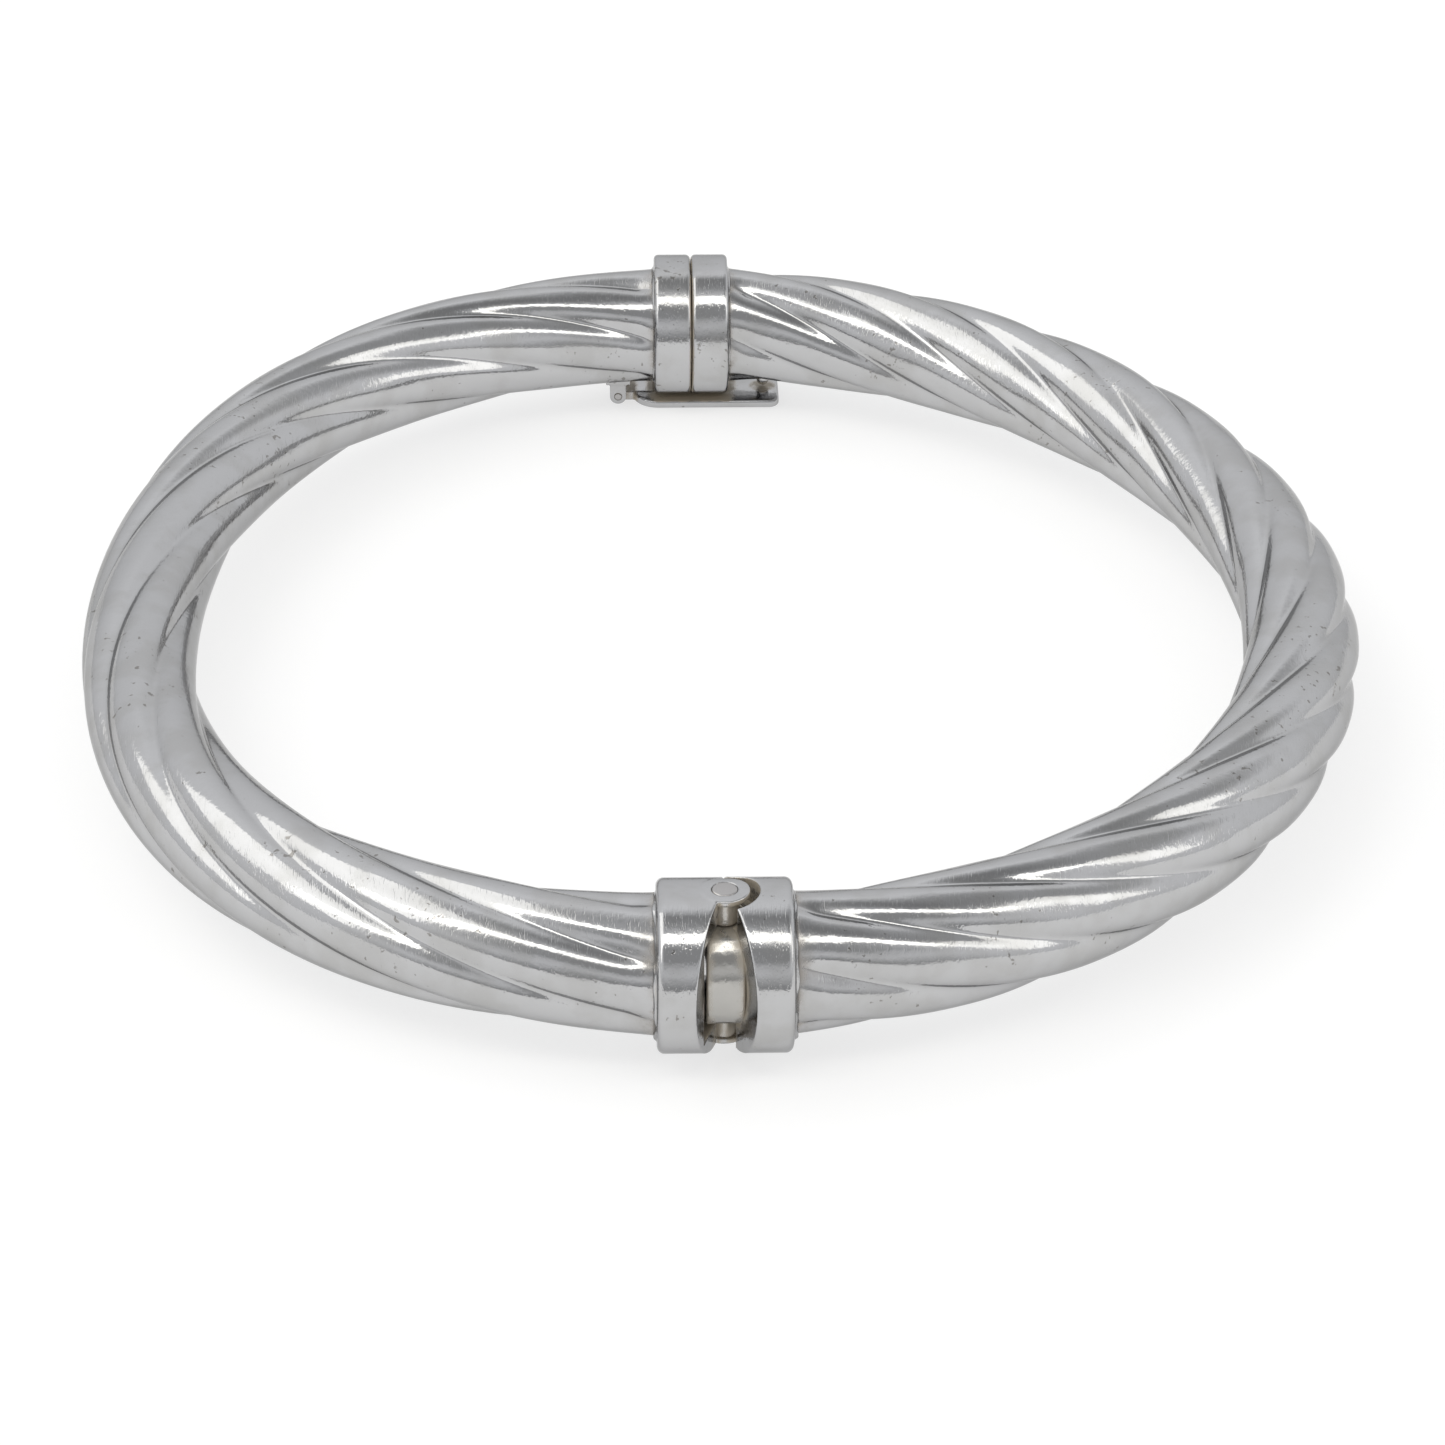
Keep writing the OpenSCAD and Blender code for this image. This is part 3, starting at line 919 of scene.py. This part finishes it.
@dataclass
class SafetyCatch:
    """The flat catch under the clasp, with its lug, its cross pin and the stud it snaps over.

    Its own coordinates have their origin in the middle of the seam, X to the right, Y outwards.
    """

    seats: Seats
    free_end: float = 5.1
    root: float = -3.33
    half_width: float = 1.85
    top: float = -3.95
    foot: float = -4.5
    barrel: float = 0.47
    barrel_half: float = 0.75
    ear: float = 0.45
    saddle_out: float = 3.42
    saddle_in: float = 2.95
    saddle_half: float = 0.7
    sag: float = 0.3
    pin_radius: float = 0.22
    stud_x: float = 4.2
    stud_z: float = -3.52
    stud_radius: float = 0.35
    tip_round: float = 0.6
    root_round: float = 1.5
    arch: float = 0.12
    gap: float = 0.6
    fine: float = 0.04

    @property
    def pivot(self) -> Array:
        """Where the cross pin is, in the clasp's coordinates."""
        return self.seats.pivot - self.seats.clasp

    def plate(self, p: Array) -> Array:
        """The catch: a plate with round corners, slightly crowned, and a barrel on its cross pin.

        The outline is a block rounded more at the hinged end than at the free one, and the edge
        all round is softened as by polishing.
        """
        x, y, z = p[..., 0], p[..., 1], p[..., 2]
        mid = (self.root + self.free_end) / 2
        corner = np.where(x < mid, self.root_round, self.tip_round)
        qx = np.abs(x - mid) - (self.free_end - self.root) / 2 + corner
        qy = np.abs(y) - self.half_width + corner
        outline = (np.hypot(np.maximum(qx, 0), np.maximum(qy, 0))
                   + np.minimum(np.maximum(qx, qy), 0) - corner)
        crown = self.arch * np.clip(1 - (y / self.half_width) ** 2, 0, 1)
        body = round_and(outline, slab(z, self.foot, self.top - self.arch + crown), 0.14)
        px, pz = self.pivot[0], self.pivot[2]
        eye = round_and(np.hypot(x - px, z - pz) - self.barrel, np.abs(y) - self.barrel_half, 0.08)
        neck = box(p, (px, -self.barrel_half, self.foot), (self.root + 1.2, self.barrel_half,
                                                          self.top), 0.1)
        whole = round_or(round_or(body, neck, 0.1), eye, 0.1)
        bore = np.hypot(x - px, z - pz) - self.pin_radius - 0.04
        return round_and(whole, -bore, 0.03)

    def lug(self, p: Array) -> Array:
        """Two round ears under a small saddle, with the hole for the cross pin.

        The saddle is a piece of a round shell that hugs the tube and sinks into its wall.
        """
        x, y, z = p[..., 0], p[..., 1], p[..., 2]
        px, pz = self.pivot[0], self.pivot[2]
        near = self.barrel_half + 0.05
        far = near + self.ear
        plan = np.maximum(np.abs(x - px) - self.saddle_half, np.abs(y) - far)
        sole = slab(np.hypot(y + self.sag, z), self.saddle_in, self.saddle_out)
        saddle = np.maximum(round_and(plan, sole, 0.07), z)
        round_part = np.hypot(x - px, z - pz) - self.barrel
        upright = np.maximum(np.abs(x - px) - self.barrel, slab(z, pz, -self.saddle_in))
        ears = round_and(np.minimum(round_part, upright), slab(np.abs(y), near, far), 0.06)
        whole = round_or(saddle, ears, 0.08)
        return round_and(whole, self.pin_radius - np.hypot(x - px, z - pz), 0.03)

    def cross_pin(self, p: Array) -> Array:
        """The cross pin, from the outside of one ear to the outside of the other."""
        across = np.hypot(p[..., 0] - self.pivot[0], p[..., 2] - self.pivot[2])
        half = self.barrel_half + 0.05 + self.ear + 0.03
        return round_and(across - self.pin_radius + 0.005, np.abs(p[..., 1]) - half, 0.07)

    def stud(self, p: Array) -> Array:
        """The bead that the catch snaps over, soldered under the right tube."""
        centre = np.array([self.stud_x, 0, self.stud_z])
        ball = np.linalg.norm(p - centre, axis=-1) - self.stud_radius
        across = np.hypot(p[..., 0] - self.stud_x, p[..., 1])
        stem = np.maximum(across - self.stud_radius * 0.95,
                          slab(p[..., 2], self.stud_z, -self.saddle_in))
        return round_or(ball, stem, 0.05)

    def everything(self, p: Array) -> Array:
        """The catch, the lug and the stud at once."""
        return np.minimum.reduce([self.plate(p), self.lug(p), self.stud(p)])

    def build(self, collar: Finish, pin: Finish, clasp: Field) -> None:
        """Makes the catch, the lug, the cross pin and the stud.

        Args:
            collar: Finish of the catch, the lug and the stud.
            pin: Finish of the cross pin.
            clasp: Signed distance to the collars above the catch.
        """
        def near(p: Array) -> Array:
            """The catch's pieces and the collars at once."""
            return np.minimum(self.everything(p), clasp(p))

        px = self.pivot[0]
        pour((
            Casting("safety_catch", Body.CATCH, collar, self.plate,
                    (px - 0.6, -1.95, self.foot - 0.1), (self.free_end + 0.1, 1.95, -3.4), self.fine),
            Casting("safety_lug", Body.LEFT, collar, self.lug,
                    (px - 0.8, -1.35, -4.6), (px + 0.8, 1.35, -2.3), self.fine),
            Casting("safety_pin", Body.LEFT, pin, self.cross_pin,
                    (px - 0.3, -1.35, -4.4), (px + 0.3, 1.35, -3.6), self.fine),
            Casting("safety_stud", Body.RIGHT, collar, self.stud,
                    (3.7, -0.5, -4.0), (4.7, 0.5, -2.8), self.fine)),
            self.seats.clasp, near, self.gap)


def direction(bearing: float, height: float) -> Vector:
    """The way that points round to the right from the front and up from the floor, in degrees."""
    a, e = math.radians(bearing), math.radians(height)
    return Vector((math.sin(a) * math.cos(e), -math.cos(a) * math.cos(e), math.sin(e)))


@dataclass
class Studio:
    """White floor, pale surroundings, softboxes and the camera."""

    seats: Seats
    distance: float = 240.0
    elevation: float = 29.15
    azimuth: float = -1.66
    aim_right: float = 0.22
    aim_down: float = 1.43
    roll: float = 0.38
    lens: float = 116.0
    sensor: float = 36.0
    dark_bearing: float = 118.0
    dark_height: float = 62.0
    dark_share: float = 0.5
    warm: str = "#fffdf6"
    cool: tuple[float, float, float] = (1.03, 1.04, 1.055)
    floor_half: float = 8.0
    floor_low: float = -3e-5
    floor_glow: float = 0.64

    def camera(self) -> None:
        """Puts the camera in front of the ring and turns it a little off the ring's middle."""
        lens = bpy.data.cameras.new("camera")
        lens.lens, lens.sensor_width = self.lens, self.sensor
        lens.clip_start, lens.clip_end = 0.01, 10.0
        camera = add_object("camera", lens)
        back = direction(self.azimuth, self.elevation)
        level = (-back).to_track_quat("-Z", "Y").to_matrix().to_4x4()
        own = (Matrix.Rotation(math.radians(-self.aim_right), 4, "Y")
               @ Matrix.Rotation(math.radians(-self.aim_down), 4, "X")
               @ Matrix.Rotation(math.radians(self.roll), 4, "Z"))
        place = (Vector(self.seats.ring) + back * self.distance) * MM
        camera.matrix_world = Matrix.Translation(place) @ level @ own
        bpy.context.scene.camera = camera

    def floor(self) -> None:
        """A plain white floor, lit a little from below, which keeps the shadows pale."""
        mesh = bpy.data.meshes.new("floor")
        half, low = self.floor_half, self.floor_low
        corners = [(-half, -half, low), (half, -half, low), (half, half, low), (-half, half, low)]
        mesh.from_pydata(corners, [], [(0, 1, 2, 3)])
        acrylic = bpy.data.materials.new("backlit_white_acrylic")
        acrylic.use_nodes = True
        shader = acrylic.node_tree.nodes["Principled BSDF"]
        look = {"Base Color": linear("#a6a6a6"), "Roughness": 0.9, "Specular IOR Level": 0.2,
                "Emission Color": linear("#ffffff"), "Emission Strength": self.floor_glow}
        for name, value in look.items():
            shader.inputs[name].default_value = value
        mesh.materials.append(acrylic)
        floor = add_object("floor", mesh)

    def softbox(self, name: str, bearing: float, height: float, distance: float,
                size: tuple[float, float], radiance: float) -> None:
        """A rectangular soft light that faces the ring.

        Args:
            name: Its name.
            bearing: Degrees round from the front, to the right.
            height: Degrees above the floor.
            distance: Metres from the ring.
            size: Width and height in metres.
            radiance: How bright its face is, where the floor is about 1.
        """
        light = bpy.data.lights.new(name, "AREA")
        light.shape = "RECTANGLE"
        light.size, light.size_y = size
        light.energy = radiance * math.pi * size[0] * size[1]
        light.color = linear(self.warm)[:3]
        lamp = add_object(name, light)
        away = direction(bearing, height)
        lamp.location = Vector(self.seats.ring) * MM + away * distance
        lamp.rotation_mode = "QUATERNION"
        lamp.rotation_quaternion = (-away).to_track_quat("-Z", "Y")

    def surroundings(self) -> None:
        """Grey room, whose brightness goes by the height above the horizon and by the bearing."""
        world = bpy.data.worlds.new("studio")
        bpy.context.scene.world = world
        tree = empty_tree(world)
        way = add_node(tree, "ShaderNodeTexCoord").outputs["Generated"]
        x, y, z = add_node(tree, "ShaderNodeSeparateXYZ", {0: way}).outputs
        share = reckon(tree, "MULTIPLY", reckon(tree, "ARCSINE", z), 2 / math.pi)
        level = reckon(tree, "SINE", reckon(tree, "ARCTAN2", y, x))
        back = span(tree, level, (-0.97, -0.45), (0.0, 1.0))
        front_stops = ((0, 0.3), (8, 0.5), (20, 0.8), (29, 0.7), (37, 0.4), (54, 0.4),
                       (62, 0.75), (76, 0.8), (85, 0.58), (90, 0.54))
        back_stops = ((0, 0.78), (12, 0.86), (35, 0.9), (52, 1.0), (62, 0.85), (74, 0.6),
                      (90, 0.54))
        ramps = []
        for stops in (front_stops, back_stops):
            ramp = add_node(tree, "ShaderNodeValToRGB", {0: share})
            row = ramp.color_ramp.elements
            for _ in range(len(stops) - 2):
                row.new(0.5)
            for element, (angle, shade) in zip(row, stops):
                element.position = angle / 90
                element.color = (*(shade * part for part in self.cool), 1)
            ramps.append(ramp.outputs[0])
        room = blend(tree, back, *ramps)
        middle = direction(self.dark_bearing, self.dark_height)
        aligned = add_node(tree, "ShaderNodeVectorMath", {0: way, 1: middle}, operation="DOT_PRODUCT")
        dim = span(tree, aligned.outputs["Value"], (0.8, 0.97), (1.0, self.dark_share))
        sky = add_node(tree, "ShaderNodeBackground", {"Color": room, "Strength": dim})
        add_node(tree, "ShaderNodeOutputWorld", {"Surface": sky.outputs[0]})

    def build(self) -> None:
        """Sets up the whole studio."""
        self.floor()
        self.surroundings()
        self.softbox("front_strip", 0, 67, 1.2, (1.9, 0.28), 2.0)
        self.softbox("left_box", -98, 50, 1.2, (1.25, 0.95), 0.86)
        self.softbox("left_low_box", -66, 34, 1.3, (0.42, 0.62), 1.0)
        self.softbox("right_box", 79, 34, 1.2, (0.42, 0.85), 1.0)
        self.camera()
        bpy.context.scene.view_settings.view_transform = "Standard"


def main() -> None:
    """Builds the bangle and its studio."""
    logging.basicConfig(level=logging.INFO, format="%(name)s %(message)s")
    seats = Seats.from_frame()
    tube = SterlingSilver("polished_sterling_tube", "tube_silver", tarnish="#9a9186",
                          tarnish_amount=0.7).finish()
    collar = SterlingSilver("polished_sterling_collar", "collar_silver", roughness=0.07, smear=0.09,
                            wave_height=0.006, wave_size=1.3, dent_size=0.28, dent_height=0.006,
                            scratch_depth=0.003, tarnish_amount=0.9).finish()
    knuckle = SterlingSilver("tarnished_cast_sterling", "knuckle_silver", clean="#b6b4b0",
                             roughness=0.14, tarnish_amount=0.65, wave_height=0.03,
                             wave_size=0.7).finish()
    pin = SterlingSilver("drawn_sterling_pin", "pin_silver", clean="#b3b1b0", roughness=0.18).finish()
    spring = SterlingSilver("rolled_sterling_strip", "spring_silver", roughness=0.25,
                            wave_height=0.002).finish()
    FlutedTube(Side.LEFT, reach=28.7, lean=0.049, square=0.056, twist=526, start=18).build(seats, tube)
    FlutedTube(Side.RIGHT, reach=30.4, lean=0.021, square=-0.014, twist=-680, start=51).build(seats, tube)
    Hinge(seats).build(collar, knuckle, pin)
    clasp, catch = Clasp(seats), SafetyCatch(seats)
    clasp.build(collar, spring, catch.everything)
    catch.build(collar, pin, clasp.collars)
    Studio(seats).build()


if __name__ == "__main__":
    main()
